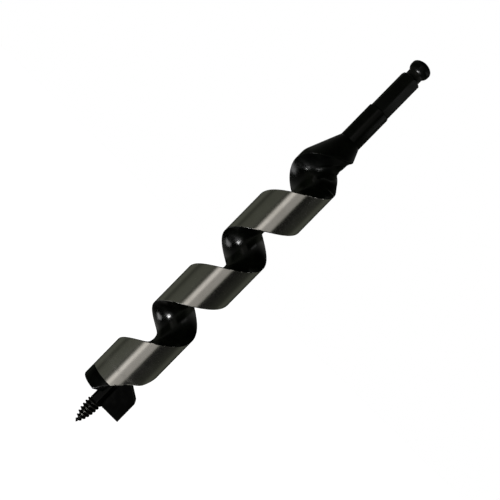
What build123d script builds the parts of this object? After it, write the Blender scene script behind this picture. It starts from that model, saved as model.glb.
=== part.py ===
from build123d import *
import math
import os

os.makedirs("parts", exist_ok=True)

# Single-flight auger bit, in millimetres. The axis is Z: the drive end is up and the feed screw points down.
# The origin is on the axis, where the round shank meets the hexagon.
# Bearings about the axis are in degrees: 0 faces -Y, and they grow towards +X, so 90 faces +X.

# Twisted bar: driving dimensions
FLIGHT_RADIUS = 15.07  # 1-3/16 inch, ground
PITCH = 55.66  # one right-handed turn
LAND_HALF_ANGLE = 88.0  # the land covers a little under half a turn
LAND_CENTRE_Z = -133.4  # height where the middle of the land faces bearing 0
WEB_BULGE = 1.2  # the flute floor swells past the axis in the middle
WEB_HOLLOW = 0.5  # and dishes slightly on each side of it
WEB_HOLLOW_REACH = 0.55  # where it dishes most, as a share of the bar's radius
CUT_MARGIN = 4.0  # how far the flute's cutting shape reaches past the ground land

# How far other cutting shapes run past what they cut, and the size of a waste block
SLACK = 1.0
WASTE_SIZE = 80.0

# Heights along the axis
SCREW_TIP_Z = -237.9
SCREW_TAPER_Z = -232.6
SCREW_ROOT_Z = -222.2
HEEL_Z = -215.6
HEAD_TOP_Z = -207.6
HEEL_MIDDLE_Z = -199.7
HEEL_BLEND_Z = -187.0
FLIGHT_TOP_Z = -49.5
NECK_SHOULDER_Z = -42.9
NECK_TOP_Z = -22.55
HEX_TOP_Z = 25.3
GROOVE_TOP_Z = 29.4
BUTTON_TOP_Z = 37.1

# Trailing edge of the land below the blend, as bearings: the heel steepens towards the head
HEEL_EDGE = -24.0
HEAD_TOP_EDGE = -3.0
HEEL_MIDDLE_EDGE = 32.0
HEEL_BLEND_EDGE = 95.5

# Feed screw
COLLAR_RADIUS = 3.3
COLLAR_FLAT_DEPTH = 0.45
WRENCH_FLAT_BEARING = -11.5
THREAD_PITCH = 2.2
THREAD_DEPTH = 1.0
THREAD_ROOT_WIDTH = 1.5
THREAD_CREST_WIDTH = 0.2
THREAD_TIP_RADIUS = 0.75
THREAD_TAPER_RADIUS = 3.0
THREAD_TOP_RADIUS = 4.0
THREAD_TIP_MARGIN = 0.9
THREAD_TIP_CORE = 0.3
THREAD_SINK = 0.1  # how far the ridge's root sinks into the core
THREAD_RUNOUT = 1.2
SCREW_NECK_LENGTH = 2.0  # where the core swells to the collar

# Set screw that holds the feed screw
SET_SCREW_BEARING = 200.0
SET_SCREW_RADIUS = 2.0
SET_SCREW_LENGTH = 10.0
SET_SCREW_CHAMFER = 0.3
SOCKET_FLATS = 2.0
SOCKET_DEPTH = 2.2

# Cutter
CUTTER_RADIUS = 16.72  # sweeps a 1-5/16 inch hole
CUTTER_THICKNESS = 6.0
CUTTER_INNER_X = 2.0
CUTTER_BACK_X = 14.6  # the outer face falls back behind the lip
CUTTER_BACK_Y = 9.0  # where it would reach that far in
CUTTER_CLEARANCE = 12.0  # angle of the underside behind the lip
CUTTER_SHOULDER_Z = -207.9
CUTTER_TOP_X = 8.2
CUTTER_TOP_Z = -202.4
CUTTER_CORNER_RADIUS = 1.2

# Neck: the core that fills the flute as it runs out
NECK_TOP_RADIUS = 6.6
CORE_START_RADIUS = 0.8
CORE_RISE = 0.8  # share of the core's radius that it has half way up its rise
CORE_RADIUS = 8.2
CORE_END_RADIUS = 9.4
CORE_FULL_Z = -39.0
CORE_END_Z = -31.5
SPIGOT_RADIUS = 4.0
SPIGOT_LENGTH = 11.0

# Drive end
SHANK_RADIUS = 6.55
HEX_FLATS = 11.11  # 7/16 inch across the flats
HEX_TURN = -20.0  # the hexagon's first corner, in degrees from +X towards +Y
HEX_CHAMFER = 0.7
HEX_FACE_RIM = 0.2  # the hexagon's end face is this much smaller than its flats
GROOVE_RADIUS = 4.6
GROOVE_LEAD_IN = 0.8
BUTTON_RADIUS = 6.1
BUTTON_SHOULDER = 1.4
BUTTON_DOME = 3.7


def direction(bearing, radius=1.0):
    """Plan position at a bearing and a radius."""
    angle = math.radians(bearing)
    return (radius * math.sin(angle), -radius * math.cos(angle))


def land_centre_bearing(z):
    """Bearing of the middle of the land at a height."""
    return 360.0 * (z - LAND_CENTRE_Z) / PITCH


def cylinder_between(radius, bottom, top):
    """Cylinder on the axis between two heights."""
    return Pos(0, 0, (bottom + top) / 2) * Cylinder(radius, top - bottom)


def revolved(*points):
    """Solid of revolution about Z from an outline of (radius, height) points."""
    with BuildPart() as body:
        with BuildSketch(Plane.XZ):
            with BuildLine():
                Polyline(*points, close=True)
            make_face()
        revolve(axis=Axis.Z)
    return body.part


def dome_points(centre_z, radius, start_x, end_x):
    """Start, middle and end of an arc about a point on the axis, so that it revolves to part of a sphere."""
    start_angle = math.asin(start_x / radius)
    end_angle = math.asin(end_x / radius)
    angles = (start_angle, (start_angle + end_angle) / 2, end_angle)
    return [(radius * math.sin(a), centre_z + radius * math.cos(a)) for a in angles]


def flute_floor():
    """Points across the flute's floor, from +X to -X, for a land whose middle faces bearing 0."""
    edge_x, edge_y = direction(LAND_HALF_ANGLE, FLIGHT_RADIUS)
    dish_x = WEB_HOLLOW_REACH * FLIGHT_RADIUS
    half = [(edge_x, edge_y), (dish_x, -WEB_HOLLOW)]
    return [*half, (0, WEB_BULGE), *[(-x, y) for x, y in reversed(half)]]


def bar_section():
    """Half-round section of the bar, its land's middle facing bearing 0."""
    floor = flute_floor()
    with BuildSketch() as section:
        with BuildLine():
            Spline(*floor)
            ThreePointArc(floor[-1], (0, -FLIGHT_RADIUS), floor[0])
        make_face()
    return section.sketch.faces()[0]


def flute_section():
    """Section of the flute over the same floor, reaching out past the land."""
    floor = flute_floor()
    edge_x, edge_y = floor[0]
    outer_x = edge_x + CUT_MARGIN
    with BuildSketch() as section:
        with BuildLine():
            Spline(*floor)
            Line(floor[-1], (-outer_x, edge_y))
            ThreePointArc((-outer_x, edge_y), (0, outer_x), (outer_x, edge_y))
            Line((outer_x, edge_y), floor[0])
        make_face()
    return section.sketch.faces()[0]


def twisted(section, bottom, top, bottom_bearing, top_bearing):
    """Twists a section between two heights, its land's middle turning from one bearing to the other."""
    start = section.rotate(Axis.Z, bottom_bearing).moved(Location((0, 0, bottom)))
    return Solid.extrude_linear_with_rotation(
        start, (0, 0, bottom), (0, 0, top - bottom), top_bearing - bottom_bearing
    )


def helical_bar(bottom, top):
    """The bar at its own pitch between two heights."""
    return twisted(bar_section(), bottom, top, land_centre_bearing(bottom), land_centre_bearing(top))


def helical_flute(bottom, top):
    """Flute at the bar's own pitch between two heights, reaching a little past both."""
    low = bottom - SLACK
    high = top + SLACK
    flute = twisted(flute_section(), low, high, land_centre_bearing(low), land_centre_bearing(high))
    return flute & cylinder_between(FLIGHT_RADIUS + CUT_MARGIN / 2, bottom - SLACK / 2, top + SLACK / 2)


def heel_flute(bottom, top, bottom_edge, top_edge):
    """Flute placed by the land's trailing edge, reaching a little past both heights."""
    overrun = SLACK * (top_edge - bottom_edge) / (top - bottom)
    low_bearing = bottom_edge - overrun - LAND_HALF_ANGLE
    high_bearing = top_edge + overrun - LAND_HALF_ANGLE
    return twisted(flute_section(), bottom - SLACK, top + SLACK, low_bearing, high_bearing)


def cutter_blank():
    """The cutter before it is fitted: an upright plate with a rounded shoulder and a sloping top."""
    with BuildPart() as plate:
        with BuildSketch(Plane.XZ) as face:
            with BuildLine():
                Polyline(
                    (CUTTER_INNER_X, SCREW_ROOT_Z),
                    (CUTTER_RADIUS, SCREW_ROOT_Z),
                    (CUTTER_RADIUS, CUTTER_SHOULDER_Z),
                    (CUTTER_TOP_X, CUTTER_TOP_Z),
                    (CUTTER_INNER_X, CUTTER_TOP_Z),
                    close=True,
                )
            make_face()
            shoulder = face.vertices().group_by(Axis.X)[-1].sort_by(Axis.Y)[-1]
            fillet(shoulder, CUTTER_CORNER_RADIUS)
        extrude(amount=-CUTTER_THICKNESS)
    outside_x = CUTTER_RADIUS + CUTTER_BACK_Y
    with BuildPart() as outer_relief:
        with BuildSketch(Plane.XY.offset(SCREW_ROOT_Z - SLACK)):
            Polygon(
                (CUTTER_RADIUS, 0),
                (outside_x, 0),
                (outside_x, CUTTER_BACK_Y),
                (CUTTER_BACK_X, CUTTER_BACK_Y),
                align=None,
            )
        extrude(amount=CUTTER_TOP_Z - SCREW_ROOT_Z + 2 * SLACK)
    waste = Pos(0, 0, -WASTE_SIZE / 2) * Box(WASTE_SIZE, WASTE_SIZE, WASTE_SIZE)
    underside = Pos(0, 0, SCREW_ROOT_Z) * Rot(X=CUTTER_CLEARANCE) * waste
    return plate.part - outer_relief.part - underside


def thread_run(bottom, top, bottom_radius, top_radius, start_angle):
    """One tapered run of the feed screw's thread, as a ridge that stands on the core."""
    taper = math.degrees(math.atan2(top_radius - bottom_radius, top - bottom))
    path = Helix(THREAD_PITCH, top - bottom, bottom_radius - THREAD_DEPTH, cone_angle=taper)
    with BuildSketch(Plane(origin=path @ 0, z_dir=path % 0, x_dir=(0, 0, 1))) as profile:
        Polygon(
            (-THREAD_ROOT_WIDTH / 2, -THREAD_SINK),
            (THREAD_ROOT_WIDTH / 2, -THREAD_SINK),
            (THREAD_CREST_WIDTH / 2, THREAD_DEPTH),
            (-THREAD_CREST_WIDTH / 2, THREAD_DEPTH),
            align=None,
        )
    ridge = sweep(profile.sketch.faces()[0], path=path, is_frenet=True)
    return Pos(0, 0, bottom) * Rot(Z=start_angle) * ridge


def collar_flat(bearing):
    """Waste block that leaves a flat on the collar at a bearing."""
    width = 4 * COLLAR_RADIUS
    height = HEAD_TOP_Z - SCREW_ROOT_Z
    x, y = direction(bearing, COLLAR_RADIUS - COLLAR_FLAT_DEPTH + width / 2)
    return Pos(x, y, SCREW_ROOT_Z + height / 2 + SLACK) * Rot(Z=bearing) * Box(width, width, height)


def feed_screw():
    """Tapered single-start feed screw with its plain collar and two flats."""
    core = revolved(
        (0, SCREW_TIP_Z),
        (THREAD_TAPER_RADIUS - THREAD_DEPTH, SCREW_TAPER_Z),
        (THREAD_TOP_RADIUS - THREAD_DEPTH, SCREW_ROOT_Z - SCREW_NECK_LENGTH),
        (COLLAR_RADIUS, SCREW_ROOT_Z),
        (COLLAR_RADIUS, HEAD_TOP_Z),
        (0, HEAD_TOP_Z),
    )
    core = core - collar_flat(WRENCH_FLAT_BEARING) - collar_flat(SET_SCREW_BEARING)
    envelope = revolved(
        (0, SCREW_TIP_Z),
        (THREAD_TIP_RADIUS, SCREW_TIP_Z + THREAD_TIP_MARGIN),
        (THREAD_TAPER_RADIUS, SCREW_TAPER_Z),
        (THREAD_TOP_RADIUS, SCREW_ROOT_Z - SCREW_NECK_LENGTH - SLACK),
        (THREAD_TOP_RADIUS, SCREW_ROOT_Z),
        (0, SCREW_ROOT_Z),
    )
    start_z = SCREW_TIP_Z + THREAD_TIP_MARGIN
    end_z = SCREW_ROOT_Z - THREAD_RUNOUT
    tip_run = thread_run(start_z, SCREW_TAPER_Z, THREAD_DEPTH + THREAD_TIP_CORE, THREAD_TAPER_RADIUS, 0)
    top_angle = 360 * (SCREW_TAPER_Z - start_z) / THREAD_PITCH
    top_run = thread_run(SCREW_TAPER_Z, end_z, THREAD_TAPER_RADIUS, THREAD_TOP_RADIUS, top_angle)
    return core + (tip_run & envelope) + (top_run & envelope)


def set_screw_place():
    """Location of the set screw: its own Z runs outwards from the collar's flat."""
    x, y = direction(SET_SCREW_BEARING)
    start = COLLAR_RADIUS - COLLAR_FLAT_DEPTH
    middle = (HEEL_Z + HEAD_TOP_Z) / 2
    return Plane(origin=(x * start, y * start, middle), z_dir=(x, y, 0), x_dir=(0, 0, 1)).location


def screw_set_screw():
    """Headless set screw with a hexagon socket, bearing on the collar's flat."""
    body = Cylinder(SET_SCREW_RADIUS, SET_SCREW_LENGTH, align=(Align.CENTER, Align.CENTER, Align.MIN))
    body = chamfer(body.edges().filter_by(GeomType.CIRCLE), SET_SCREW_CHAMFER)
    socket = extrude(RegularPolygon(SOCKET_FLATS / 2, 6, major_radius=False), SOCKET_DEPTH + SLACK)
    return set_screw_place() * (body - Pos(0, 0, SET_SCREW_LENGTH - SOCKET_DEPTH) * socket)


def cutting_head():
    """Short black head: the bar's last turn, the heel, the screw's seat and the cutter's pocket."""
    heel = heel_flute(HEEL_Z, HEAD_TOP_Z, HEEL_EDGE, HEAD_TOP_EDGE)
    body = cylinder_between(FLIGHT_RADIUS, HEEL_Z, HEAD_TOP_Z) - (helical_flute(HEEL_Z, HEAD_TOP_Z) & heel)
    seat = cylinder_between(COLLAR_RADIUS, HEEL_Z - SLACK, HEAD_TOP_Z + SLACK)
    hole_place = set_screw_place() * Pos(0, 0, FLIGHT_RADIUS / 2)
    hole = hole_place * Cylinder(SET_SCREW_RADIUS, FLIGHT_RADIUS + 2 * SLACK)
    body = body - seat - hole - cutter_blank()
    return body.solids().sort_by(SortBy.VOLUME)[-1]


def cutter():
    """The cutter, fitted round the feed screw's collar."""
    return cutter_blank() - cylinder_between(COLLAR_RADIUS, SCREW_ROOT_Z - SLACK, HEAD_TOP_Z)


def flight():
    """Twisted half-round bar between the head and the neck, with the cutter's seat at its foot."""
    heel = heel_flute(HEAD_TOP_Z, HEEL_MIDDLE_Z, HEAD_TOP_EDGE, HEEL_MIDDLE_EDGE)
    heel = heel & cylinder_between(FLIGHT_RADIUS + CUT_MARGIN, HEAD_TOP_Z - SLACK, HEEL_MIDDLE_Z)
    blend = heel_flute(HEEL_MIDDLE_Z, HEEL_BLEND_Z, HEEL_MIDDLE_EDGE, HEEL_BLEND_EDGE)
    blend = blend & cylinder_between(FLIGHT_RADIUS + CUT_MARGIN, HEEL_MIDDLE_Z, HEEL_BLEND_Z)
    foot = cylinder_between(FLIGHT_RADIUS, HEAD_TOP_Z, HEEL_BLEND_Z)
    for cut in (heel, blend):
        foot = foot - (helical_flute(HEAD_TOP_Z, HEEL_BLEND_Z) & cut)
    return foot + helical_bar(HEEL_BLEND_Z, FLIGHT_TOP_Z) - cutter_blank()


def neck():
    """Forged flare: a cone with the flute running out over a core."""
    flare = revolved(
        (0, FLIGHT_TOP_Z),
        (FLIGHT_RADIUS, FLIGHT_TOP_Z),
        (FLIGHT_RADIUS, NECK_SHOULDER_Z),
        (NECK_TOP_RADIUS, NECK_TOP_Z),
        (0, NECK_TOP_Z),
    )
    with BuildPart() as core:
        with BuildSketch(Plane.XZ):
            with BuildLine():
                low = FLIGHT_TOP_Z - 2 * SLACK
                high = NECK_TOP_Z + 2 * SLACK
                start = (CORE_START_RADIUS, low)
                half_way = (CORE_RADIUS * CORE_RISE, (FLIGHT_TOP_Z + CORE_FULL_Z) / 2)
                end = (CORE_END_RADIUS, CORE_END_Z)
                Spline(start, half_way, (CORE_RADIUS, CORE_FULL_Z), end)
                Polyline(end, (CORE_END_RADIUS, high), (0, high), (0, low), start)
            make_face()
        revolve(axis=Axis.Z)
    body = flare - (helical_flute(FLIGHT_TOP_Z, NECK_TOP_Z) - core.part)
    return body - cylinder_between(SPIGOT_RADIUS, NECK_TOP_Z - SPIGOT_LENGTH, NECK_TOP_Z + SLACK)


def hexagon():
    """Hexagonal drive, the corners of its far end turned off to part of a sphere."""
    corner_x = HEX_FLATS / math.sqrt(3)
    sphere_z = HEX_TOP_Z - corner_x
    sphere_radius = math.hypot(corner_x, corner_x - HEX_CHAMFER)
    arc = dome_points(sphere_z, sphere_radius, corner_x + SLACK, corner_x - HEX_CHAMFER)
    with BuildPart() as turned:
        with BuildSketch(Plane.XZ):
            with BuildLine():
                ThreePointArc(*arc)
                Polyline(arc[-1], (0, HEX_TOP_Z), (0, 0), (corner_x + SLACK, 0), arc[0])
            make_face()
        revolve(axis=Axis.Z)
    prism = Rot(Z=HEX_TURN) * extrude(RegularPolygon(HEX_FLATS / 2, 6, major_radius=False), HEX_TOP_Z)
    return prism & turned.part


def button():
    """Latch groove and domed button."""
    dome_radius = (BUTTON_RADIUS**2 + BUTTON_DOME**2) / (2 * BUTTON_DOME)
    arc = dome_points(BUTTON_TOP_Z - dome_radius, dome_radius, BUTTON_RADIUS, 0)
    with BuildPart() as body:
        with BuildSketch(Plane.XZ):
            with BuildLine():
                Polyline(
                    (0, BUTTON_TOP_Z),
                    (0, HEX_TOP_Z),
                    (HEX_FLATS / 2 - HEX_FACE_RIM, HEX_TOP_Z),
                    (GROOVE_RADIUS, HEX_TOP_Z + GROOVE_LEAD_IN),
                    (GROOVE_RADIUS, GROOVE_TOP_Z - GROOVE_LEAD_IN),
                    (BUTTON_RADIUS, GROOVE_TOP_Z + BUTTON_SHOULDER - GROOVE_LEAD_IN),
                    arc[0],
                )
                ThreePointArc(*arc)
            make_face()
        revolve(axis=Axis.Z)
    return body.part


def drive_shank():
    """Round shank with its spigot, the hexagon, the latch groove and the button, all one bar."""
    turned = revolved(
        (0, NECK_TOP_Z - SPIGOT_LENGTH),
        (SPIGOT_RADIUS, NECK_TOP_Z - SPIGOT_LENGTH),
        (SPIGOT_RADIUS, NECK_TOP_Z),
        (SHANK_RADIUS, NECK_TOP_Z),
        (SHANK_RADIUS, 0),
        (0, 0),
    )
    return turned + hexagon() + button()


PIECES = {
    "feed_screw": feed_screw,
    "screw_set_screw": screw_set_screw,
    "cutting_head": cutting_head,
    "cutter": cutter,
    "flight": flight,
    "neck": neck,
    "drive_shank": drive_shank,
}

for name, make_piece in PIECES.items():
    export_step(make_piece(), f"parts/{name}.step")
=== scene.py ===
import logging
import math
from dataclasses import dataclass
from enum import Enum

import bmesh
import bpy
from mathutils import Matrix, Vector


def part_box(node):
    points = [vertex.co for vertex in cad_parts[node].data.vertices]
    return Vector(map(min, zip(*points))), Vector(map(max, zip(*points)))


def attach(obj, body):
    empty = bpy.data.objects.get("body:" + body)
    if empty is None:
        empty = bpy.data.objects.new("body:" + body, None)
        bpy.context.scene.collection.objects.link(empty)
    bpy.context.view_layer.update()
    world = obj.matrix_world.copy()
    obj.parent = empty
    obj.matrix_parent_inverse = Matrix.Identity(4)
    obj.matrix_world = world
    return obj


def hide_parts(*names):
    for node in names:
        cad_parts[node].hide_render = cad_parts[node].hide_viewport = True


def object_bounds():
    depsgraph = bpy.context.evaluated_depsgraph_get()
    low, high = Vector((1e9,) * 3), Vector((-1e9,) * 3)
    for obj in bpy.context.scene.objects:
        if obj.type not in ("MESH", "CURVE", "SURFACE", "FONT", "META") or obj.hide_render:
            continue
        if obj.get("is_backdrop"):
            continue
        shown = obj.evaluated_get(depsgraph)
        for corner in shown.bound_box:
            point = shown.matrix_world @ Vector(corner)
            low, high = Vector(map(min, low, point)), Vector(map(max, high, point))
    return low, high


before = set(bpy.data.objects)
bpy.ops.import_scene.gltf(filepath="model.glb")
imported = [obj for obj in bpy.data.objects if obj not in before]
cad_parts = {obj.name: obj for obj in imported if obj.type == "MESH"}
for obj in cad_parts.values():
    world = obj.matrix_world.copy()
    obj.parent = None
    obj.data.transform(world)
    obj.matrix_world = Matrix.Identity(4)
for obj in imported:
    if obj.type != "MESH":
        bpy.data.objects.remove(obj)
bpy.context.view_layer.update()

MM = 0.001  # metres in a millimetre: sizes below are in millimetres unless a name says otherwise
BLACK_LINE_RISE = 0.9  # how far the head's black finish runs up past the joint with the flight
UP = Vector((0, 0, 1))
log = logging.getLogger("auger_bit")

Point = tuple[float, float]
Colour = tuple[float, float, float, float]
Settings = dict[str, object]
Inputs = dict[str | int, object]


def smooth_step(value: float, start: float, end: float) -> float:
    """Rise smoothly from 0 to 1 between two values.

    Args:
        value: where to read the rise.
        start: where it leaves 0.
        end: where it reaches 1.

    Returns:
        The height of the rise.
    """
    t = min(max((value - start) / (end - start), 0.0), 1.0)
    return t * t * (3 - 2 * t)


def soft_min(a: float, b: float, blend: float) -> float:
    """Smaller of two values, rounded where they are closer than the blend.

    Args:
        a: first value.
        b: second value.
        blend: how close they come before the rounding starts.

    Returns:
        The rounded minimum.
    """
    h = max(blend - abs(a - b), 0.0) / blend
    return min(a, b) - h * h * blend / 4


def soft_max(a: float, b: float, blend: float) -> float:
    """Larger of two values, rounded where they are closer than the blend.

    Args:
        a: first value.
        b: second value.
        blend: how close they come before the rounding starts.

    Returns:
        The rounded maximum.
    """
    return -soft_min(-a, -b, blend)


def direction(bearing: float) -> Vector:
    """Level unit vector at a bearing in degrees: 0 faces -Y, and 90 faces +X."""
    angle = math.radians(bearing)
    return Vector((math.sin(angle), -math.cos(angle), 0))


def bearing_of(place: Vector) -> float:
    """Bearing of a point about the axis, in degrees."""
    return math.degrees(math.atan2(place.x, -place.y))


def arc(centre: Point, radius: float, start: float, end: float, steps: int) -> list[Point]:
    """Points along an arc of an outline, ends included.

    Args:
        centre: the arc's centre, as distance from the axis and height.
        radius: the arc's radius.
        start: angle at the start, in degrees from outwards to upwards.
        end: angle at the end.
        steps: how many chords it has.

    Returns:
        The points, in order.
    """
    angles = [math.radians(start + (end - start) * i / steps) for i in range(steps + 1)]
    return [(centre[0] + radius * math.cos(a), centre[1] + radius * math.sin(a)) for a in angles]


def node_heights(node: str) -> Point:
    """Lowest and highest height of a CAD node, in millimetres."""
    low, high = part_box(node)
    return low.z / MM, high.z / MM


# ----------------------------------------------------------------------------------------------------
# Shader maths
# ----------------------------------------------------------------------------------------------------


class Signal:
    """A node's output that takes part in ordinary arithmetic."""

    def __init__(self, graph: "ShaderGraph", socket: bpy.types.NodeSocket) -> None:
        """Wrap an output.

        Args:
            graph: the graph that the output belongs to.
            socket: the output itself.
        """
        self.graph = graph
        self.socket = socket

    def _math(self, operation: str, *values: "Signal | float") -> "Signal":
        """Add a Math node that works on these values."""
        inputs = dict(enumerate(values))
        return self.graph.add("ShaderNodeMath", {"operation": operation}, inputs)

    def __add__(self, other: "Signal | float") -> "Signal":
        """Sum."""
        return self._math("ADD", self, other)

    def __radd__(self, other: float) -> "Signal":
        """Sum with a number on the left."""
        return self._math("ADD", other, self)

    def __sub__(self, other: "Signal | float") -> "Signal":
        """Difference."""
        return self._math("SUBTRACT", self, other)

    def __rsub__(self, other: float) -> "Signal":
        """Difference with a number on the left."""
        return self._math("SUBTRACT", other, self)

    def __mul__(self, other: "Signal | float") -> "Signal":
        """Product."""
        return self._math("MULTIPLY", self, other)

    def __rmul__(self, other: float) -> "Signal":
        """Product with a number on the left."""
        return self._math("MULTIPLY", other, self)

    def __truediv__(self, other: "Signal | float") -> "Signal":
        """Quotient."""
        return self._math("DIVIDE", self, other)

    def angle_over(self, other: "Signal") -> "Signal":
        """Angle whose tangent is this over another, in radians."""
        return self._math("ARCTAN2", self, other)

    def ramp(self, start: float, end: float) -> "Signal":
        """Rise smoothly from 0 at start to 1 at end, or the other way round where start is the larger.

        Args:
            start: value that gives 0.
            end: value that gives 1.

        Returns:
            The ramp, kept between 0 and 1.
        """
        low, high = min(start, end), max(start, end)
        inputs = {0: self, 1: low, 2: high, 3: 0.0, 4: 1.0}
        rise = self.graph.add("ShaderNodeMapRange", {"interpolation_type": "SMOOTHSTEP"}, inputs)
        return rise if start < end else 1 - rise


class ShaderGraph:
    """The node tree of a material or a world, and the one way that nodes are added to it."""

    def __init__(self, owner: bpy.types.ID) -> None:
        """Take over an owner's nodes.

        Args:
            owner: the material or world.
        """
        owner.use_nodes = True
        self.tree = owner.node_tree
        self.tree.nodes.clear()

    def node(
        self, kind: str, settings: Settings | None = None, inputs: Inputs | None = None
    ) -> bpy.types.Node:
        """Add a node.

        Args:
            kind: the node's type.
            settings: its own settings, set first.
            inputs: values or signals for its inputs, by name or number.

        Returns:
            The node.
        """
        made = self.tree.nodes.new(kind)
        for name, value in (settings or {}).items():
            setattr(made, name, value)
        for name, value in (inputs or {}).items():
            if isinstance(value, Signal):
                self.tree.links.new(value.socket, made.inputs[name])
            else:
                made.inputs[name].default_value = value
        return made

    def add(
        self, kind: str, settings: Settings | None = None, inputs: Inputs | None = None,
        output: str | int = 0,
    ) -> Signal:
        """Add a node and take one of its outputs.

        Args:
            kind: the node's type.
            settings: its own settings.
            inputs: values or signals for its inputs.
            output: which output to take, by name or number.

        Returns:
            The output.
        """
        return Signal(self, self.node(kind, settings, inputs).outputs[output])

    def place(self) -> Signal:
        """Object coordinates, in millimetres."""
        raw = self.add("ShaderNodeTexCoord", output="Object")
        return self.add("ShaderNodeVectorMath", {"operation": "SCALE"}, {0: raw, "Scale": 1 / MM})

    def stretched(self, vector: Signal, scale: tuple[float, float, float]) -> Signal:
        """Vector with each of its parts scaled on its own."""
        return self.add("ShaderNodeVectorMath", {"operation": "MULTIPLY"}, {0: vector, 1: scale})

    def from_axis(self, place: Signal) -> Signal:
        """Distance from the bit's axis."""
        level = self.stretched(place, (1, 1, 0))
        return self.add("ShaderNodeVectorMath", {"operation": "LENGTH"}, {0: level}, "Value")

    def noise(self, vector: Signal, scale: float, detail: float = 3.0, rough: float = 0.55) -> Signal:
        """Smooth noise between 0 and 1.

        Args:
            vector: where to read it.
            scale: how many waves it has to a unit of the vector.
            detail: how many finer layers it has.
            rough: how strong the finer layers are.

        Returns:
            The noise.
        """
        inputs = {"Vector": vector, "Scale": scale, "Detail": detail, "Roughness": rough}
        return self.add("ShaderNodeTexNoise", None, inputs)

    def mixed(self, factor: Signal | float, first: Signal | Colour, second: Signal | Colour) -> Signal:
        """Blend of two colours."""
        settings = {"data_type": "RGBA"}
        return self.add("ShaderNodeMix", settings, {0: factor, 6: first, 7: second}, 2)

    def bump(self, height: Signal, depth: float) -> Signal:
        """Surface normal over a height from 0 to 1 that stands for a depth in millimetres."""
        inputs = {"Height": height, "Distance": depth * MM, "Strength": 1.0}
        return self.add("ShaderNodeBump", None, inputs, "Normal")

    def finish(self, inputs: Inputs) -> None:
        """Close a material with a Principled shader.

        Args:
            inputs: the shader's values and signals.
        """
        shader = self.add("ShaderNodeBsdfPrincipled", None, inputs)
        self.node("ShaderNodeOutputMaterial", None, {"Surface": shader})


# ----------------------------------------------------------------------------------------------------
# Finishes
# ----------------------------------------------------------------------------------------------------


class Marks(Enum):
    """Which way a finish's fine tool marks run."""

    ROUND_THE_BAR = (0.05, 0.05, 7.0)
    NONE = (2.2, 2.2, 2.2)


@dataclass(frozen=True)
class BlackFinish:
    """Glossy black heat-treated steel, with tool marks, a faint film of oil and worn edges."""

    name: str
    colour: Colour = (0.0012, 0.0018, 0.0010, 1)
    film: Colour = (0.0038, 0.0056, 0.0028, 1)
    worn: Colour = (0.085, 0.085, 0.078, 1)
    roughness: float = 0.20
    shine: float = 0.08
    marks: Marks = Marks.NONE
    mark_depth: float = 0.003
    swell: float = 0.03
    wear: float = 0.35

    def build(self) -> bpy.types.Material:
        """Make the material.

        Returns:
            The material.
        """
        material = bpy.data.materials.new(self.name)
        graph = ShaderGraph(material)
        place = graph.place()
        clouds = graph.noise(place, 0.16, 4.0).ramp(0.38, 0.72)
        grain = graph.noise(place, 3.1, 2.0)
        marks = graph.noise(graph.stretched(place, self.marks.value), 1.0, 3.0, 0.6)
        edge = graph.add("ShaderNodeAttribute", {"attribute_name": "edge"}, None, "Fac")
        chips = graph.noise(place, 1.3, 3.0, 0.7).ramp(0.42, 0.66)
        worn = edge * (0.35 + 0.65 * chips) * self.wear
        colour = graph.mixed(clouds * 0.7 + grain * 0.3, self.colour, self.film)
        colour = graph.mixed(worn, colour, self.worn)
        height = marks * 0.6 + grain * 0.4
        swell = graph.bump(graph.noise(place, 0.33, 1.0), self.swell)
        inputs = {"Height": height, "Distance": self.mark_depth * MM, "Strength": 1.0, "Normal": swell}
        normal = graph.add("ShaderNodeBump", None, inputs, "Normal")
        graph.finish(
            {
                "Base Color": colour,
                "Metallic": worn * 0.8,
                "Roughness": self.roughness + clouds * 0.10 + marks * 0.10 + worn * 0.12,
                "Specular IOR Level": self.shine,
                "Normal": normal,
            }
        )
        return material


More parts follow.
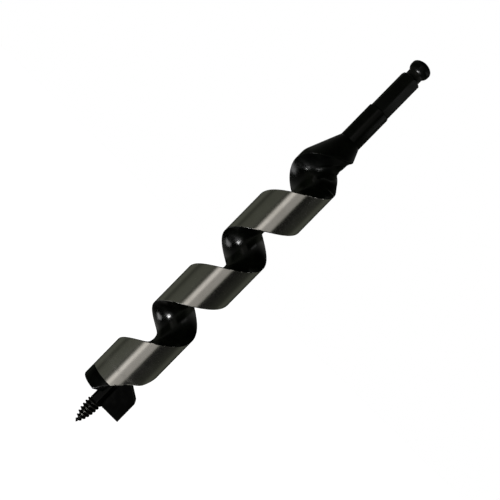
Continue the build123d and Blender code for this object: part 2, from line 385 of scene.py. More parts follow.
@dataclass(frozen=True)
class GroundLandFinish:
    """Bright ground land over a black glossy flute: the grinder touches only what stands at full radius."""

    name: str
    land_radius: float
    steel: Colour = (0.600, 0.590, 0.560, 1)
    tarnish: Colour = (0.470, 0.455, 0.410, 1)
    black: Colour = (0.0012, 0.0018, 0.0010, 1)
    film: Colour = (0.0066, 0.0090, 0.0050, 1)
    land_depth: float = 0.06
    land_roughness: float = 0.13
    flute_roughness: float = 0.17
    flute_shine: float = 0.15
    dulling: float = 0.22
    dulling_start: float = -49.6
    dulling_end: float = -46.5
    ring_depth: float = 0.0045
    forge_depth: float = 0.05

    def build(self) -> bpy.types.Material:
        """Make the material.

        Returns:
            The material.
        """
        material = bpy.data.materials.new(self.name)
        graph = ShaderGraph(material)
        place = graph.place()
        radius = graph.from_axis(place)
        ragged = graph.noise(place, 1.7, 3.0, 0.6) * 0.02
        land = (radius - ragged).ramp(self.land_radius - self.land_depth, self.land_radius - 0.025)
        rings = graph.noise(graph.stretched(place, (0.04, 0.04, 5.5)), 1.0, 4.0, 0.65)
        streaks = graph.noise(graph.stretched(place, (0.35, 0.35, 0.05)), 1.0, 3.0, 0.6)
        patches = graph.noise(place, 0.11, 3.0).ramp(0.35, 0.75)
        clouds = graph.noise(place, 0.16, 4.0).ramp(0.38, 0.72)
        grain = graph.noise(place, 2.6, 2.0)
        edge = graph.add("ShaderNodeAttribute", {"attribute_name": "edge"}, None, "Fac")
        chips = graph.noise(place, 1.6, 2.0, 0.6)
        land = land * (1 - (edge + chips * 0.8).ramp(0.55, 0.95))
        steel = graph.mixed(patches * 0.35 + streaks * 0.35 + rings * 0.2, self.steel, self.tarnish)
        flute = graph.mixed(clouds * 0.7 + grain * 0.3, self.black, self.film)
        land_rough = self.land_roughness + rings * 0.06 + patches * 0.03
        up = graph.add("ShaderNodeSeparateXYZ", None, {"Vector": place}, "Z")
        dulled = up.ramp(self.dulling_start, self.dulling_end) * self.dulling
        flute_rough = self.flute_roughness + clouds * 0.12 + dulled
        height = land * rings * (self.ring_depth / self.forge_depth)
        height = height + (1 - land) * graph.noise(place, 0.30, 1.0)
        graph.finish(
            {
                "Base Color": graph.mixed(land, flute, steel),
                "Metallic": land,
                "Roughness": land * land_rough + (1 - land) * flute_rough,
                "Specular IOR Level": self.flute_shine,
                "Normal": graph.bump(height, self.forge_depth),
            }
        )
        return material


@dataclass(frozen=True)
class ThreadFinish:
    """Black oxide over a rolled thread, rubbed brighter along its crests."""

    name: str
    root: Colour = (0.0014, 0.0018, 0.0012, 1)
    crest: Colour = (0.045, 0.045, 0.038, 1)
    roughness: float = 0.20
    shine: float = 0.04

    def build(self) -> bpy.types.Material:
        """Make the material.

        Returns:
            The material.
        """
        material = bpy.data.materials.new(self.name)
        graph = ShaderGraph(material)
        place = graph.place()
        crest = graph.add("ShaderNodeAttribute", {"attribute_name": "crest"}, None, "Fac")
        edge = graph.add("ShaderNodeAttribute", {"attribute_name": "edge"}, None, "Fac")
        grain = graph.noise(place, 2.4, 3.0, 0.65)
        rubbed = (crest.ramp(0.55, 1.0) + edge * 0.5) * (0.45 + 0.55 * grain)
        rings = graph.noise(graph.stretched(place, Marks.ROUND_THE_BAR.value), 1.0, 3.0)
        graph.finish(
            {
                "Base Color": graph.mixed(rubbed, self.root, self.crest),
                "Metallic": rubbed * 0.3,
                "Roughness": self.roughness + grain * 0.15 + rubbed * 0.1,
                "Specular IOR Level": self.shine,
                "Normal": graph.bump(rings * 0.5 + grain * 0.5, 0.02),
            }
        )
        return material


# ----------------------------------------------------------------------------------------------------
# Mesh work
# ----------------------------------------------------------------------------------------------------


def joined_outline(bm: bmesh.types.BMesh, points: list[Point]) -> list[bmesh.types.BMEdge]:
    """Draw an outline in the half plane that faces +X.

    Args:
        bm: the mesh to draw in.
        points: distance from the axis and height of each point.

    Returns:
        The outline's edges.
    """
    drawn = [bm.verts.new((x, 0, z)) for x, z in points]
    return [bm.edges.new(pair) for pair in zip(drawn, drawn[1:])]


def turned(points: list[Point], steps: int, first_angle: float = 0.0) -> bmesh.types.BMesh:
    """Turn an outline that starts and ends on the axis into a closed solid.

    Args:
        points: distance from the axis and height of each point.
        steps: how many facets go round.
        first_angle: where the facets start, in degrees from +X towards +Y.

    Returns:
        The solid.
    """
    bm = bmesh.new()
    edges = joined_outline(bm, points)
    matrix = Matrix.Rotation(math.radians(first_angle), 3, "Z")
    bmesh.ops.rotate(bm, verts=bm.verts[:], cent=(0, 0, 0), matrix=matrix)
    bmesh.ops.spin(
        bm, geom=bm.verts[:] + edges, cent=(0, 0, 0), axis=UP, dvec=(0, 0, 0),
        angle=2 * math.pi, steps=steps, use_merge=True, use_duplicate=False,
    )
    bmesh.ops.remove_doubles(bm, verts=bm.verts[:], dist=1e-4)
    bmesh.ops.recalc_face_normals(bm, faces=bm.faces[:])
    return bm


def cut_plane(bm: bmesh.types.BMesh, point: Vector, outwards: Vector) -> None:
    """Cut away what lies beyond a plane and close the cut.

    Args:
        bm: the solid.
        point: a point on the plane.
        outwards: the side that is cut away.
    """
    geom = bm.verts[:] + bm.edges[:] + bm.faces[:]
    bmesh.ops.bisect_plane(
        bm, geom=geom, dist=1e-5, plane_co=point, plane_no=outwards, clear_outer=True, clear_inner=False
    )
    rim = [edge for edge in bm.edges if edge.is_boundary]
    bmesh.ops.holes_fill(bm, edges=rim, sides=0)
    bmesh.ops.recalc_face_normals(bm, faces=bm.faces[:])


def soften(
    bm: bmesh.types.BMesh, width: float, least_angle: float, segments: int = 2, broad_area: float = 1e9
) -> None:
    """Round a solid's sharp edges and note them in its "edge" layer, from 0 to 1.

    Args:
        bm: the solid.
        width: how wide the rounding is.
        least_angle: edges that turn by less than this many degrees are left alone.
        segments: how many facets cross the rounding.
        broad_area: faces with more area than this get a margin, so that only their rims are noted.
    """
    layer = bm.verts.layers.float.get("edge") or bm.verts.layers.float.new("edge")
    limit = math.radians(least_angle)
    sharp = [edge for edge in bm.edges if edge.is_manifold and edge.calc_face_angle(0.0) > limit]
    made = bmesh.ops.bevel(
        bm, geom=sharp, offset=width, offset_type="OFFSET", affect="EDGES", segments=segments,
        profile=0.5, material=-1, clamp_overlap=True,
    )
    for vert in made["verts"]:
        vert[layer] = 1.0
    broad = [face for face in bm.faces if face.calc_area() > broad_area]
    bmesh.ops.inset_individual(bm, faces=broad, thickness=3 * width, depth=0.0)
    for face in broad:
        for vert in face.verts:
            vert[layer] = 0.0


def make_piece(
    name: str, bm: bmesh.types.BMesh, replaced: list[str], slot: str, finish: bpy.types.Material,
    crease: float = 32.0,
) -> bpy.types.Object:
    """Turn a solid in millimetres into a finished piece of the bit.

    Args:
        name: the piece's name.
        bm: the solid, which is used up.
        replaced: CAD nodes that it stands for.
        slot: name of the record's material slot, which is only logged.
        finish: its material.
        crease: edges that turn by more than this many degrees are shaded sharp.

    Returns:
        The piece.
    """
    if bm.verts.layers.float.get("edge") is None:
        bm.verts.layers.float.new("edge")
    flat = [face for face in bm.faces if len(face.verts) > 4]
    bmesh.ops.triangulate(bm, faces=flat, quad_method="BEAUTY", ngon_method="BEAUTY")
    bmesh.ops.scale(bm, vec=(MM, MM, MM), verts=bm.verts[:])
    open_edges = sum(not edge.is_manifold for edge in bm.edges)
    mesh = bpy.data.meshes.new(name)
    bm.to_mesh(mesh)
    bm.free()
    mesh.shade_smooth()
    mesh.set_sharp_from_angle(angle=math.radians(crease))
    piece = bpy.data.objects.new(name, mesh)
    bpy.context.scene.collection.objects.link(piece)
    piece.data.materials.append(finish)
    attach(piece, "root")
    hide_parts(*replaced)
    log.info("%s: %d faces, %d open edges, slot %s", name, len(mesh.polygons), open_edges, slot)
    return piece


# ----------------------------------------------------------------------------------------------------
# The twisted bar: flight, head and neck share it
# ----------------------------------------------------------------------------------------------------


@dataclass
class TwistedBar:
    """Half-round bar twisted to the right: one land at full radius and one flute."""

    radius: float
    pitch: float = 55.66
    land_centre_z: float = -133.4
    land_half_angle: float = 91.2
    bulge: float = 0.9
    bulge_width: float = 7.0
    dish: float = 0.15
    round_over: float = 0.35
    land_facets: int = 120
    floor_facets: int = 88
    crowding: float = 1.6

    def land_centre(self, z: float) -> float:
        """Bearing of the middle of the land at a height."""
        return 360.0 * (z - self.land_centre_z) / self.pitch

    def away_from_land(self, place: Vector) -> float:
        """Bearing of a point from the middle of the land at its height, between -180 and 180."""
        return (bearing_of(place) - self.land_centre(place.z) + 180.0) % 360.0 - 180.0

    def swing(self, vert: bmesh.types.BMVert, away: float, most: float) -> None:
        """Turn a point away from the land's middle, the more the nearer it is to the land's edge.

        Args:
            vert: the point.
            away: its bearing from the land's middle.
            most: how far the land's edge itself turns, in degrees.
        """
        half = self.land_half_angle
        share = abs(away) / half if abs(away) <= half else (180.0 - abs(away)) / (180.0 - half)
        turn = math.copysign(share, away) * most
        vert.co.rotate(Matrix.Rotation(math.radians(turn), 3, "Z"))

    def floor(self, share: float) -> float:
        """Height of the flute's floor over the land's edges.

        Args:
            share: how far out from the middle to read it, from 0 to 1.

        Returns:
            The height.
        """
        x = share * self.radius
        bulge = self.bulge * math.exp(-((x / self.bulge_width) ** 2))
        return bulge - self.dish * math.sin(math.pi * share) ** 2

    def section(self, z: float) -> bmesh.types.BMesh:
        """Face of the bar's section at a height.

        Args:
            z: the height.

        Returns:
            A mesh with that one face.
        """
        bm = bmesh.new()
        layer = bm.verts.layers.float.new("edge")
        bmesh.ops.create_circle(bm, cap_ends=True, segments=self.land_facets, radius=self.radius)
        edge_y = -self.radius * math.cos(math.radians(self.land_half_angle))
        geom = bm.verts[:] + bm.edges[:] + bm.faces[:]
        bmesh.ops.bisect_plane(
            bm, geom=geom, dist=1e-5, plane_co=(0, edge_y, 0), plane_no=(0, 1, 0), clear_outer=True
        )
        chord = max(bm.edges, key=lambda edge: edge.calc_length())
        half_chord = chord.calc_length() / 2
        cut = bmesh.ops.subdivide_edges(bm, edges=[chord], cuts=self.floor_facets - 1)
        for vert in {item for item in cut["geom_inner"] if isinstance(item, bmesh.types.BMVert)}:
            share = abs(vert.co.x) / half_chord
            crowded = share**self.crowding
            vert.co.x = math.copysign(crowded * half_chord, vert.co.x)
            vert.co.y = edge_y + self.floor(crowded)
        level = [vert for vert in bm.verts if abs(vert.co.y - edge_y) < 1e-4]
        ends = [vert for vert in level if abs(vert.co.x) > half_chord - 1e-3]
        corners = bmesh.ops.bevel(
            bm, geom=ends, offset=self.round_over, offset_type="OFFSET", affect="VERTICES", segments=3,
            profile=0.5, material=-1,
        )
        for vert in corners["verts"]:
            vert[layer] = 1.0
        matrix = Matrix.Rotation(math.radians(self.land_centre(z)), 3, "Z")
        bmesh.ops.rotate(bm, verts=bm.verts[:], cent=(0, 0, 0), matrix=matrix)
        bmesh.ops.translate(bm, verts=bm.verts[:], vec=(0, 0, z))
        return bm

    def run(self, bottom: float, top: float, step: float) -> bmesh.types.BMesh:
        """Length of the bar between two heights.

        Args:
            bottom: its lower end.
            top: its upper end.
            step: the largest turn between two rings, in degrees.

        Returns:
            The closed solid.
        """
        bm = self.section(bottom)
        turn = self.land_centre(top) - self.land_centre(bottom)
        steps = math.ceil(turn / step)
        bmesh.ops.spin(
            bm, geom=bm.verts[:] + bm.edges[:] + bm.faces[:], cent=(0, 0, 0), axis=UP,
            dvec=(0, 0, (top - bottom) / steps), angle=math.radians(turn), steps=steps,
            use_merge=False, use_duplicate=False,
        )
        bmesh.ops.remove_doubles(bm, verts=bm.verts[:], dist=1e-4)
        bmesh.ops.recalc_face_normals(bm, faces=bm.faces[:])
        return bm


@dataclass
class Heel:
    """Foot of the bar, where the land's trailing edge sweeps forward towards the head."""

    bar: TwistedBar
    top: float = -190.8
    length: float = 24.8
    reach: float = 59.7
    growth: float = 1.7
    bulge: float = 6.0
    trim: float = 4.0
    bulge_top: float = -189.6
    bulge_middle: float = -196.4
    bulge_bottom: float = -199.6

    def turn(self, z: float) -> float:
        """How far the trailing edge is swept at a height.

        Args:
            z: the height.

        Returns:
            The sweep, in degrees.
        """
        share = max(0.0, (self.top - z) / self.length)
        rise = smooth_step(-z, -self.bulge_top, -self.bulge_middle)
        fall = 1 - smooth_step(-z, -self.bulge_middle, -self.bulge_bottom)
        trim = self.trim * smooth_step(-z, -self.bulge_middle, -self.bulge_bottom)
        return self.reach * share**self.growth + self.bulge * min(rise, fall) - trim

    def sweep(self, bm: bmesh.types.BMesh) -> None:
        """Turn the trailing half of each ring below the heel's top.

        Args:
            bm: a run of the bar.
        """
        for vert in bm.verts:
            away = self.bar.away_from_land(vert.co)
            most = self.turn(vert.co.z)
            if away > 0.0 and most != 0.0:
                self.bar.swing(vert, away, most)


@dataclass
class RunOut:
    """Upper end of the bar, where the flute runs out over a core and the outside narrows to the shank."""

    bar: TwistedBar
    start: float = -52.0
    core_radius: float = 8.15
    core_depth: float = 1.5
    core_rise: float = 8.6
    core_power: float = 2.2
    core_blend: float = 5.0
    back_reach: float = 15.0
    back_start: float = -46.5
    back_end: float = -39.0
    fillet_turn: float = 40.0
    wall_angle: float = 95.0
    lip_bump: float = 11.0
    bump_start: float = -73.0
    bump_middle: float = -62.0
    bump_end: float = -49.0
    lip_start: float = -33.5
    lip_end: float = -28.5
    lip: float = 1.6
    top: float = -22.55
    top_radius: float = 6.6
    shoulder: float = -42.9
    cone_blend: float = 0.9

    def core(self, z: float) -> float:
        """Radius of the core that fills the flute at a height.

        Args:
            z: the height.

        Returns:
            The radius.
        """
        rise = 1 - math.exp(-(((z - self.start) / self.core_rise) ** self.core_power))
        lip = self.lip * smooth_step(z, self.lip_start, self.lip_end)
        return (self.core_radius + self.core_depth) * rise - self.core_depth + lip

    def outside(self, z: float) -> float:
        """Radius of the cone that the outside narrows along, at a height."""
        slope = (self.bar.radius - self.top_radius) / (self.top - self.shoulder)
        return self.top_radius + slope * (self.top - z)

    def _fillet(self, vert: bmesh.types.BMVert) -> None:
        """Lean the flute's walls in over the core, so that they meet it in a hollow curve.

        Args:
            vert: a point of the bar.
        """
        radius = math.hypot(vert.co.x, vert.co.y)
        across = (bearing_of(vert.co) - self.bar.land_centre(vert.co.z)) % 360.0 - 180.0
        core = self.core(vert.co.z)
        if radius > self.bar.radius - 0.2 or abs(across) > self.wall_angle + 3.0 or core <= 0.5:
            return
        lean = self.fillet_turn * smooth_step(core, 0.5, 7.0)
        if radius <= core:
            turn = -across * lean / self.wall_angle
        else:
            share = min((radius - core) / (self.bar.radius - core), 1.0)
            turn = -math.copysign(lean * (1 - share) ** 2, across) * min(1.0, abs(across) / self.wall_angle)
        vert.co.rotate(Matrix.Rotation(math.radians(turn), 3, "Z"))

    def shape(self, bm: bmesh.types.BMesh) -> None:
        """Fill the flute and narrow the outside of each ring above the start.

        Args:
            bm: a run of the bar.
        """
        for vert in bm.verts:
            z = vert.co.z
            if z <= self.bump_start:
                continue
            away = self.bar.away_from_land(vert.co)
            if away > 0.0:
                rise = smooth_step(z, self.bump_start, self.bump_middle)
                drop = smooth_step(z, self.bump_middle, self.bump_end)
                self.bar.swing(vert, away, self.lip_bump * min(rise, 1 - drop))
            if z <= self.start:
                continue
            if away < 0.0:
                self.bar.swing(vert, away, self.back_reach * smooth_step(z, self.back_start, self.back_end))
            self._fillet(vert)
            self._narrow(vert)

    def _narrow(self, vert: bmesh.types.BMVert) -> None:
        """Push a point out onto the core and in onto the cone.

        Args:
            vert: a point of the bar.
        """
        radius = math.hypot(vert.co.x, vert.co.y)
        if radius < 1e-6:
            return
        filled = min(soft_max(radius, self.core(vert.co.z), self.core_blend), max(radius, self.bar.radius))
        wanted = soft_min(filled, self.outside(vert.co.z), self.cone_blend)
        vert.co.x *= wanted / radius
        vert.co.y *= wanted / radius


@dataclass
class Flight:
    """The ground flight between the head and the neck."""

    bar: TwistedBar
    heel: Heel
    run_out: RunOut
    ring_step: float = 3.5

    def make(self) -> None:
        """Build the flight and dress it."""
        bottom, top = node_heights("flight")
        bm = self.bar.run(bottom + BLACK_LINE_RISE, top, self.ring_step)
        self.heel.sweep(bm)
        self.run_out.shape(bm)
        finish = GroundLandFinish("ground_land_and_black_flute", self.bar.radius).build()
        make_piece("twisted_flight", bm, ["flight"], "ground_flight", finish, 50.0)


@dataclass
class Neck:
    """The black forged flare that carries the flight into the shank."""

    bar: TwistedBar
    run_out: RunOut
    ring_step: float = 3.0

    def make(self) -> None:
        """Build the neck and dress it."""
        bottom, top = node_heights("neck")
        bm = self.bar.run(bottom, top, self.ring_step)
        self.run_out.shape(bm)
        finish = BlackFinish("black_forged_neck", swell=0.06, roughness=0.22, wear=0.12).build()
        make_piece("forged_neck", bm, ["neck"], "black_shank", finish, 60.0)


# ----------------------------------------------------------------------------------------------------
# Head, cutter and feed screw
# ----------------------------------------------------------------------------------------------------


@dataclass
class CuttingHead:
    """Short black head under the flight, bored for the set screw and with a rounded lower rim."""

    bar: TwistedBar
    heel: Heel
    ring_step: float = 1.6
    rim: float = 0.8
    bottom_rise: float = 0.6
    hole_bearing: float = 200.0
    hole_height: float = -211.6
    hole_radius: float = 2.02
    hole_start: float = 2.0
    hole_length: float = 18.0
    countersink: float = 0.5

    def make(self) -> None:
        """Build the head and dress it."""
        bottom, top = node_heights("cutting_head")
        bottom += self.bottom_rise
        bm = self.bar.run(bottom, top + BLACK_LINE_RISE, self.ring_step)
        self.heel.sweep(bm)
        self._round_rim(bm, bottom)
        finish = BlackFinish(
            "black_hardened_head", marks=Marks.ROUND_THE_BAR, roughness=0.20, shine=0.05, wear=0.0
        ).build()
        head = make_piece("hardened_head", bm, ["cutting_head"], "black_head", finish, 40.0)
        self._bore(head)

    def _round_rim(self, bm: bmesh.types.BMesh, bottom: float) -> None:
        """Round the lower rim of the land.

        Args:
            bm: the head.
            bottom: height of its lower face.
        """
        for vert in bm.verts:
            rise = vert.co.z - bottom
            radius = math.hypot(vert.co.x, vert.co.y)
            if rise >= self.rim:
                continue
            share = 1 - rise / self.rim
            limit = self.bar.radius - self.rim * (1 - math.sqrt(max(0.0, 1 - share * share)))
            if radius > limit:
                vert.co.x *= limit / radius
                vert.co.y *= limit / radius

    def _bore(self, head: bpy.types.Object) -> None:
        """Bore the countersunk hole that the set screw sits in.

        Args:
            head: the finished head.
        """
        start, mouth = self.hole_start, self.bar.radius - self.countersink
        wide, end = self.hole_radius + self.hole_length, mouth + self.hole_length
        outline = [(0, start), (self.hole_radius, start), (self.hole_radius, mouth), (wide, end), (0, end)]
        drill = turned(outline, 48)
        outwards = direction(self.hole_bearing)
        aim = UP.rotation_difference(outwards).to_matrix()
        bmesh.ops.rotate(drill, verts=drill.verts[:], cent=(0, 0, 0), matrix=aim)
        bmesh.ops.translate(drill, verts=drill.verts[:], vec=(0, 0, self.hole_height))
        bmesh.ops.scale(drill, vec=(MM, MM, MM), verts=drill.verts[:])
        mesh = bpy.data.meshes.new("drill")
        drill.to_mesh(mesh)
        drill.free()
        tool = bpy.data.objects.new("drill", mesh)
        bpy.context.scene.collection.objects.link(tool)
        cut = head.modifiers.new("set_screw_hole", "BOOLEAN")
        cut.operation = "DIFFERENCE"
        cut.solver = "EXACT"
        cut.object = tool
        bpy.context.view_layer.update()
        shaped = bpy.data.meshes.new_from_object(head.evaluated_get(bpy.context.evaluated_depsgraph_get()))
        head.modifiers.clear()
        head.data = shaped
        bpy.data.objects.remove(tool)


@dataclass
class Cutter:
    """Single cutter: an upright plate with a rounded shoulder, relieved behind its lip."""

    inner_x: float = 2.9
    back_x: float = 14.6
    back_y: float = 9.0
    thickness: float = 6.0
    top_x: float = 8.2
    shoulder_z: float = -207.9
    corner: float = 1.2
    clearance: float = 12.0

    def make(self) -> None:
        """Build the cutter and dress it."""
        low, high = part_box("cutter")
        outer, bottom, top = high.x / MM, low.z / MM, high.z / MM
        outline = [
            (self.inner_x, bottom),
            (outer, bottom),
            (outer, self.shoulder_z),
            (self.top_x, top),
            (self.inner_x, top),
        ]
        bm = bmesh.new()
        corners = [bm.verts.new((x, 0, z)) for x, z in outline]
        bm.faces.new(corners)
        bmesh.ops.bevel(
            bm, geom=[corners[2]], offset=self.corner, offset_type="OFFSET", affect="VERTICES", segments=6,
            profile=0.5, material=-1,
        )
        block = bmesh.ops.extrude_face_region(bm, geom=bm.faces[:], use_keep_orig=True)
        moved = [item for item in block["geom"] if isinstance(item, bmesh.types.BMVert)]
        bmesh.ops.translate(bm, verts=moved, vec=(0, self.thickness, 0))
        bmesh.ops.recalc_face_normals(bm, faces=bm.faces[:])
        cut_plane(bm, Vector((outer, 0, bottom)), Vector((self.back_y, outer - self.back_x, 0)).normalized())
        slope = math.radians(self.clearance)
        cut_plane(bm, Vector((outer, 0, bottom)), Vector((0, math.sin(slope), -math.cos(slope))))
        soften(bm, 0.16, 30.0, 2, 4.0)
        finish = BlackFinish(
            "black_honed_cutter", colour=(0.0004, 0.0007, 0.0002, 1), film=(0.0010, 0.0016, 0.0006, 1),
            roughness=0.12, shine=0.04, wear=0.5,
        ).build()
        make_piece("cutter_blade", bm, ["cutter"], "black_head", finish, 40.0)


@dataclass
class FeedScrew:
    """Tapered single-start thread under a plain collar with a small wrench flat."""

    pitch: float = 2.2
    depth: float = 1.15
    crest_radius: float = 4.3
    taper_length: float = 13.4
    taper_power: float = 0.75
    lead: float = 3.0
    thread_top: float = -221.4
    collar_radius: float = 3.55
    flat_depth: float = 0.45
    flat_bearing: float = -11.5
    seat_bearing: float = 200.0
    swell_length: float = 1.6
    overlap: float = 0.6
    gap_to_head_top: float = 0.5
    steps: int = 60

    def make(self) -> None:
        """Build the screw and dress it."""
        tip, _ = node_heights("feed_screw")
        root, _ = node_heights("cutter")
        _, head_top = node_heights("cutting_head")
        bm = self._thread(tip, root + self.overlap)
        collar = self._collar(root, head_top - self.gap_to_head_top)
        joined = bpy.data.meshes.new("collar")
        collar.to_mesh(joined)
        collar.free()
        bm.from_mesh(joined)
        bpy.data.meshes.remove(joined)
        finish = ThreadFinish("black_rolled_thread").build()
        make_piece("screw_point", bm, ["feed_screw"], "black_screw", finish, 38.0)

    def crest(self, z: float, tip: float) -> float:
        """Radius of the thread's crest at a height."""
        share = min(max((tip + self.taper_length - z) / self.taper_length, 0.0), 1.0)
        return self.crest_radius * (1 - share * share) ** self.taper_power

    def _thread(self, tip: float, top: float) -> bmesh.types.BMesh:
        """Threaded point, as one closed solid.

        Args:
            tip: height of its point.
            top: height where it ends inside the collar.

        Returns:
            The solid.
        """
        bm = bmesh.new()
        layer = bm.verts.layers.float.new("crest")
        far = 10.0
        ridge = [(0.0, 0.0), (0.13, 0.05), (0.25, 0.34), (0.36, 0.82), (0.44, 1.0), (0.56, 1.0)]
        ridge += [(0.64, 0.82), (0.75, 0.34), (0.87, 0.05), (1.0, 0.0)]
        start = tip - self.lead
        edges = joined_outline(bm, [(far + height, start + share * self.pitch) for share, height in ridge])
        turns = math.ceil((top - start) / self.pitch)
        bmesh.ops.spin(
            bm, geom=bm.verts[:] + edges, cent=(0, 0, 0), axis=UP,
            dvec=(0, 0, self.pitch / self.steps), angle=2 * math.pi * turns, steps=self.steps * turns,
            use_merge=False, use_duplicate=False,
        )
        bmesh.ops.remove_doubles(bm, verts=bm.verts[:], dist=1e-3)
        for vert in bm.verts:
            height = math.hypot(vert.co.x, vert.co.y) - far
            outer = self.crest(max(vert.co.z, tip), tip)
            fade = 1 - smooth_step(vert.co.z, self.thread_top - 0.4, self.thread_top + 1.2)
            grown = 0.25 + 0.75 * smooth_step(vert.co.z, tip, tip + 2.0)
            depth = min(self.depth, 0.15 + 0.5 * outer) * grown
            core = max(outer - depth, 0.04)
            swell = smooth_step(vert.co.z, self.thread_top, self.thread_top + self.swell_length)
            core += (self.collar_radius - 0.15 - core) * swell
            radius = core + depth * fade * max(height, 0.0)
            scale = radius / (far + height)
            vert.co.x *= scale
            vert.co.y *= scale
            vert[layer] = max(height, 0.0) * fade
        cut_plane(bm, Vector((0, 0, top)), UP)
        cut_plane(bm, Vector((0, 0, tip + 0.05)), -UP)
        return bm

    def _collar(self, bottom: float, top: float) -> bmesh.types.BMesh:
        """Plain collar with its two flats, as one closed solid.

        Args:
            bottom: height where it starts.
            top: height where it ends.

        Returns:
            The solid.
        """
        outline = [(0, bottom), (self.collar_radius - 0.25, bottom), (self.collar_radius, bottom + 0.25)]
        outline += [(self.collar_radius, bottom + 0.9), (self.collar_radius, top - 0.6)]
        outline += [(self.collar_radius, top), (0, top)]
        bm = turned(outline, 96)
        reach = self.collar_radius - self.flat_depth
        for bearing in (self.flat_bearing, self.seat_bearing):
            outwards = direction(bearing)
            cut_plane(bm, outwards * reach, outwards)
        soften(bm, 0.10, 22.0, 2, 2.5)
        bm.verts.layers.float.new("crest")
        return bm


# ----------------------------------------------------------------------------------------------------
# Drive shank
# ----------------------------------------------------------------------------------------------------


@dataclass
class DriveShank:
    """Round shank, hexagon, latch groove and button, turned and milled from one bar."""

    shank_radius: float = 6.55
    flats: float = 11.11
    first_corner: float = -20.0
    corner_limit: float = 6.34
    run_out: float = 0.7
    hex_top: float = 25.3
    hex_chamfer: float = 0.7
    groove_radius: float = 4.6
    lead_in: float = 0.8
    button_radius: float = 6.1
    barrel: float = 3.9
    dome: float = 3.7
    dome_power: float = 0.61
    foot_round: float = 0.25
    foot_sink: float = 0.3
    spigot_radius: float = 4.0
    steps: int = 240

    def outline(self) -> list[Point]:
        """Outline of the turned bar, from its foot inside the neck to the button's top.

        Returns:
            Distance from the axis and height of each point.
        """
        foot, top = node_heights("drive_shank")
        _, neck_top = node_heights("neck")
        corner = self.flats / math.sqrt(3)
        groove_low = self.hex_top + self.lead_in
        dome_start = top - self.dome
        seat = neck_top - self.foot_sink
        round_start = self.shank_radius - self.foot_round
        points = [(0, foot), (self.spigot_radius, foot), (self.spigot_radius, seat), (round_start, seat)]
        points += arc((round_start, neck_top + 0.05), self.foot_round, -60, 0, 3)
        points += [(self.shank_radius, z) for z in (neck_top / 2, -0.3)]
        points += [(self.shank_radius, self.run_out * i / 6) for i in range(7)]
        points += [(self.shank_radius, z) for z in (self.hex_top / 2, self.hex_top - 1.1)]
        rise = self.hex_top - corner
        round_off = math.hypot(corner, corner - self.hex_chamfer)
        start = math.degrees(math.acos((corner - 0.02) / round_off))
        end = math.degrees(math.acos((corner - self.hex_chamfer) / round_off))
        points += arc((0, rise), round_off, start, end, 6)
        points += [(self.flats / 2 - 0.2, self.hex_top)]
        points += [(self.groove_radius + 0.12, groove_low - 0.12), (self.groove_radius, groove_low + 0.2)]
        barrel = (self.button_radius - self.barrel, dome_start - 1.0)
        foot_angle = -math.degrees(math.acos((self.groove_radius + 0.12 - barrel[0]) / self.barrel))
        points += [(self.groove_radius, barrel[1] + self.barrel * math.sin(math.radians(foot_angle)) - 0.25)]
        points += arc(barrel, self.barrel, foot_angle, 0, 12)
        rises = [math.sin(math.pi / 2 * i / 18) for i in range(19)]
        dome = [(self.button_radius * (1 - rise**2) ** self.dome_power, self.dome * rise) for rise in rises]
        points += [(radius, dome_start + height) for radius, height in dome]
        return points

    def make(self) -> None:
        """Build the shank and dress it."""
        bm = turned(self.outline(), self.steps, self.first_corner)
        for vert in bm.verts:
            self._mill(vert)
        soften(bm, 0.10, 24.0, 2)
        finish = BlackFinish("black_turned_shank", marks=Marks.ROUND_THE_BAR, shine=0.11).build()
        make_piece("hex_shank_bar", bm, ["drive_shank"], "black_shank", finish, 25.0)

    def _mill(self, vert: bmesh.types.BMVert) -> None:
        """Move a point of the hexagon's length onto its flat.

        Args:
            vert: a point of the turned bar.
        """
        if not 0.0 < vert.co.z <= self.hex_top:
            return
        radius = math.hypot(vert.co.x, vert.co.y)
        if radius < self.groove_radius:
            return
        angle = math.degrees(math.atan2(vert.co.y, vert.co.x)) - self.first_corner
        off_centre = math.radians((angle % 60.0) - 30.0)
        corner = self.flats / math.sqrt(3)
        sunk = math.sin(min(vert.co.z / self.run_out, 1.0) * math.pi / 2)
        apothem = self.shank_radius + (self.flats / 2 - self.shank_radius) * sunk
        limit = self.shank_radius + (self.corner_limit - self.shank_radius) * sunk
        wanted = min(radius, apothem / math.cos(off_centre), limit, corner)
        vert.co.x *= wanted / radius
        vert.co.y *= wanted / radius


def dress_set_screw() -> None:
    """Give the set screw, whose shape is already right, its own finish."""
    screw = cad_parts["screw_set_screw"]
    screw.data.materials.clear()
    screw.data.materials.append(BlackFinish("black_alloy_set_screw", roughness=0.34, wear=0.0).build())
    log.info("screw_set_screw: kept from the design, slot set_screw")


# ----------------------------------------------------------------------------------------------------
# Studio
# ----------------------------------------------------------------------------------------------------


@dataclass(frozen=True)
class Panel:
    """Soft studio light that faces the bit."""

    name: str
    bearing: float
    elevation: float
    width: float
    height: float
    strength: float
    distance: float = 1.2

    def hang(self, aim: Vector) -> None:
        """Put the light up, out of the camera's sight.

        Args:
            aim: the point that it faces, in metres.
        """
        light = bpy.data.lights.new(self.name, "AREA")
        light.shape = "RECTANGLE"
        light.size = self.width
        light.size_y = self.height
        light.energy = self.strength * self.width * self.height * math.pi
        lamp = bpy.data.objects.new(self.name, light)
        lift = math.radians(self.elevation)
        away = direction(self.bearing) * math.cos(lift) + UP * math.sin(lift)
        lamp.location = aim + away * self.distance
        lamp.rotation_mode = "QUATERNION"
        lamp.rotation_quaternion = away.to_track_quat("Z", "Y")
        lamp.visible_camera = False
        lamp.visible_diffuse = False
        bpy.context.scene.collection.objects.link(lamp)


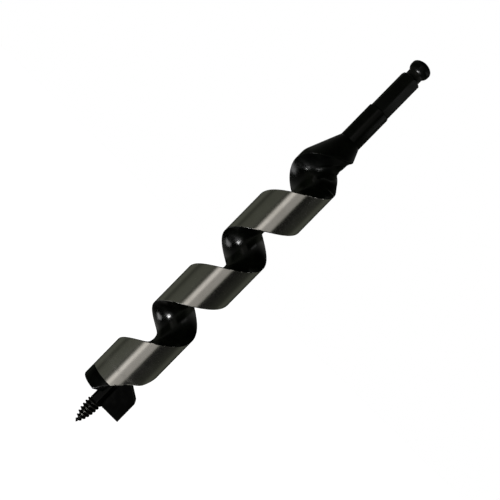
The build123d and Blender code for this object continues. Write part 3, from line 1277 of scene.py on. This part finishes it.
@dataclass(frozen=True)
class Wall:
    """Softly lit part of the surroundings that the steel mirrors: it fades in and out by bearing."""

    name: str
    start: float
    full_from: float
    full_to: float
    end: float
    brightness: float

    def light(self, bearing: Signal) -> Signal:
        """Its brightness at a bearing in degrees."""
        spread = bearing.ramp(self.start, self.full_from) * bearing.ramp(self.end, self.full_to)
        return spread * self.brightness


@dataclass
class Studio:
    """White studio: the walls that the steel mirrors, small lamps, a pale floor and the camera."""

    camera_distance: float = 0.42
    lens: float = 54.98
    roll: float = 44.48
    camera_x: float = 0.0025
    camera_z: float = -0.1034
    floor_size: float = 6.0
    upper_walls: Colour = (0.25, 0.25, 0.235, 1)
    dim_tint: tuple[float, float, float] = (0.94, 1.0, 0.80)
    lit_tint: tuple[float, float, float] = (1.0, 0.965, 0.925)
    darkest: float = 0.005
    below: float = 0.008
    walls: tuple[Wall, ...] = (
        Wall("back_left", -172, -130, -118, -92, 0.095),
        Wall("left", -114, -74, -46, -26, 0.078),
        Wall("front", -35, -18, 22, 31.5, 0.40),
        Wall("window", -30, -18, -11, -3, 0.48),
        Wall("right", 40, 100, 150, 175, 0.022),
        Wall("back_right", 92, 122, 126, 166, 0.055),
    )
    panels: tuple[Panel, ...] = (
        Panel("low_front_lamp", -10, -58, 0.09, 0.07, 230.0, 0.4),
        Panel("low_left_lamp", -120, -62, 0.28, 0.20, 5.0, 0.8),
        Panel("shank_fill", 80, 26, 0.5, 0.10, 1.1, 0.6),
    )

    def build(self) -> None:
        """Set up the world, the lamps, the floor and the camera."""
        scene = bpy.context.scene
        scene.view_settings.view_transform = "Standard"
        scene.view_settings.look = "None"
        self._world(scene)
        low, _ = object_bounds()
        aim = Vector((0, 0, self.camera_z))
        for panel in self.panels:
            panel.hang(aim)
        self._floor(low.z)
        self._camera(scene)

    def _world(self, scene: bpy.types.Scene) -> None:
        """Walls that the bit mirrors, by bearing, and plain white for the camera.

        Args:
            scene: the scene that gets them.
        """
        world = bpy.data.worlds.new("studio")
        scene.world = world
        graph = ShaderGraph(world)
        way = graph.add("ShaderNodeTexCoord", output="Generated")
        parts = graph.node("ShaderNodeSeparateXYZ", None, {0: way})
        east, north, height = (Signal(graph, parts.outputs[i]) for i in range(3))
        bearing = east.angle_over(0 - north) * math.degrees(1)
        walls = sum((wall.light(bearing) for wall in self.walls), start=self.darkest)
        dim = graph.stretched(walls, self.dim_tint)
        lit = graph.stretched(walls, self.lit_tint)
        tilt = height * height
        tinted = graph.mixed(walls.ramp(0.05, 0.35), dim, lit)
        tinted = graph.mixed(tilt.ramp(0.075, 0.17), tinted, self.upper_walls)
        strength = tilt.ramp(0.80, 0.17) + self.below
        background = graph.add("ShaderNodeBackground", None, {"Color": tinted, "Strength": strength})
        white = graph.add("ShaderNodeBackground", None, {"Color": (1, 1, 1, 1), "Strength": 1.0})
        seen = graph.add("ShaderNodeLightPath", output="Is Camera Ray")
        surface = graph.add("ShaderNodeMixShader", None, {0: seen, 1: background, 2: white})
        graph.node("ShaderNodeOutputWorld", None, {"Surface": surface})

    def _floor(self, height: float) -> None:
        """Pale floor just under the screw's point.

        Args:
            height: height of the point, in metres.
        """
        bm = bmesh.new()
        bmesh.ops.create_grid(bm, x_segments=1, y_segments=1, size=self.floor_size / 2)
        bmesh.ops.translate(bm, verts=bm.verts[:], vec=(0, 0, height - 0.0002))
        mesh = bpy.data.meshes.new("floor")
        bm.to_mesh(mesh)
        bm.free()
        floor = bpy.data.objects.new("floor", mesh)
        material = bpy.data.materials.new("pale_floor")
        graph = ShaderGraph(material)
        glow = {"Base Color": (0.8, 0.8, 0.8, 1), "Roughness": 1.0, "Specular IOR Level": 0.0}
        glow.update({"Emission Color": (1, 1, 1, 1), "Emission Strength": 1.0})
        graph.finish(glow)
        mesh.materials.append(material)
        bpy.context.scene.collection.objects.link(floor)
        floor.visible_glossy = False
        floor.visible_diffuse = False
        floor.visible_shadow = False
        floor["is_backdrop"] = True

    def _camera(self, scene: bpy.types.Scene) -> None:
        """Camera in front of the bit, rolled so that the bit lies across the view.

        Args:
            scene: the scene that gets it.
        """
        data = bpy.data.cameras.new("camera")
        data.lens = self.lens
        data.sensor_width = 36.0
        data.clip_start = 0.01
        camera = bpy.data.objects.new("camera", data)
        roll = math.radians(self.roll)
        right = Vector((math.cos(roll), 0, math.sin(roll)))
        top = Vector((-math.sin(roll), 0, math.cos(roll)))
        back = right.cross(top)
        turn = Matrix((right, top, back)).transposed().to_4x4()
        camera.matrix_world = Matrix.Translation((self.camera_x, -self.camera_distance, self.camera_z)) @ turn
        scene.collection.objects.link(camera)
        scene.camera = camera


def main() -> None:
    """Build the bit piece by piece, then the studio round it."""
    logging.basicConfig(level=logging.INFO, format="%(name)s: %(message)s")
    _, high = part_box("flight")
    bar = TwistedBar(radius=high.y / MM)
    heel = Heel(bar)
    run_out = RunOut(bar)
    Flight(bar, heel, run_out).make()
    Neck(bar, run_out).make()
    CuttingHead(bar, heel).make()
    Cutter().make()
    FeedScrew().make()
    DriveShank().make()
    dress_set_screw()
    Studio().build()


if __name__ == "__main__":
    main()
